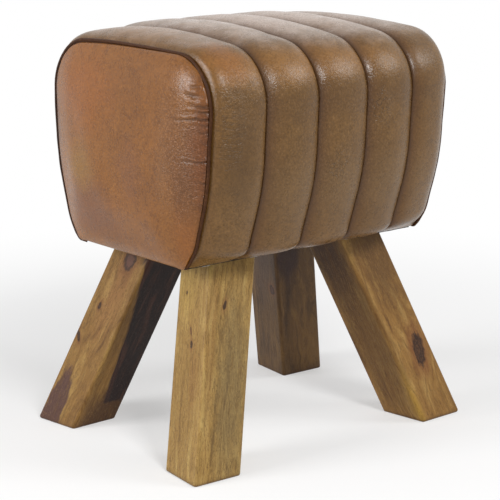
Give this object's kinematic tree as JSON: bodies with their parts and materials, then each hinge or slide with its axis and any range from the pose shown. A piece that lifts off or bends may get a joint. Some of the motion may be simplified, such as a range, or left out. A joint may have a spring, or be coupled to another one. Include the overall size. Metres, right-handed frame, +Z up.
{
  "type": "leather stool",
  "caption": "Free-standing stool with a barrel-shaped, channelled and piped leather seat on splayed square timber legs.",
  "frame": {"origin": "on the floor, at the middle of the four feet", "axes": "+X along the seat from cap to cap, +Y to the back, +Z up"},
  "size_m": [0.4006, 0.33, 0.4725],
  "materials": {
    "leg_timber": "satin",
    "plywood": "matte",
    "block_wood": "matte",
    "zinc_steel": "satin",
    "foam": "matte",
    "wadding": "matte",
    "cover_leather": "gloss",
    "piping_leather": "gloss",
    "piping_cord": "matte",
    "dust_cloth": "matte"
  },
  "bodies": {
    "root": {"leg_front_left": "leg_timber", "leg_front_right": "leg_timber", "leg_back_left": "leg_timber", "leg_back_right": "leg_timber", "base_board": "plywood", "end_panel_left": "plywood", "end_panel_right": "plywood", "side_board_front": "plywood", "side_board_back": "plywood", "top_board": "plywood", "mid_rib": "plywood", "leg_mounting_blocks": "block_wood", "carcass_screws": "zinc_steel", "leg_bolts": "zinc_steel", "leg_bolt_washers": "zinc_steel", "leg_inserts": "zinc_steel", "hem_staples": "zinc_steel", "dust_cover_staples": "zinc_steel", "foam_top": "foam", "foam_front": "foam", "foam_back": "foam", "foam_end_left": "foam", "foam_end_right": "foam", "channel_padding_1": "wadding", "channel_padding_2": "wadding", "channel_padding_3": "wadding", "channel_padding_4": "wadding", "channel_padding_5": "wadding", "leather_channel_1": "cover_leather", "leather_channel_2": "cover_leather", "leather_channel_3": "cover_leather", "leather_channel_4": "cover_leather", "leather_channel_5": "cover_leather", "leather_end_left": "cover_leather", "leather_end_right": "cover_leather", "piping_left": "piping_leather", "piping_right": "piping_leather", "piping_cord_left": "piping_cord", "piping_cord_right": "piping_cord", "dust_cover": "dust_cloth"}
  },
  "joints": []
}
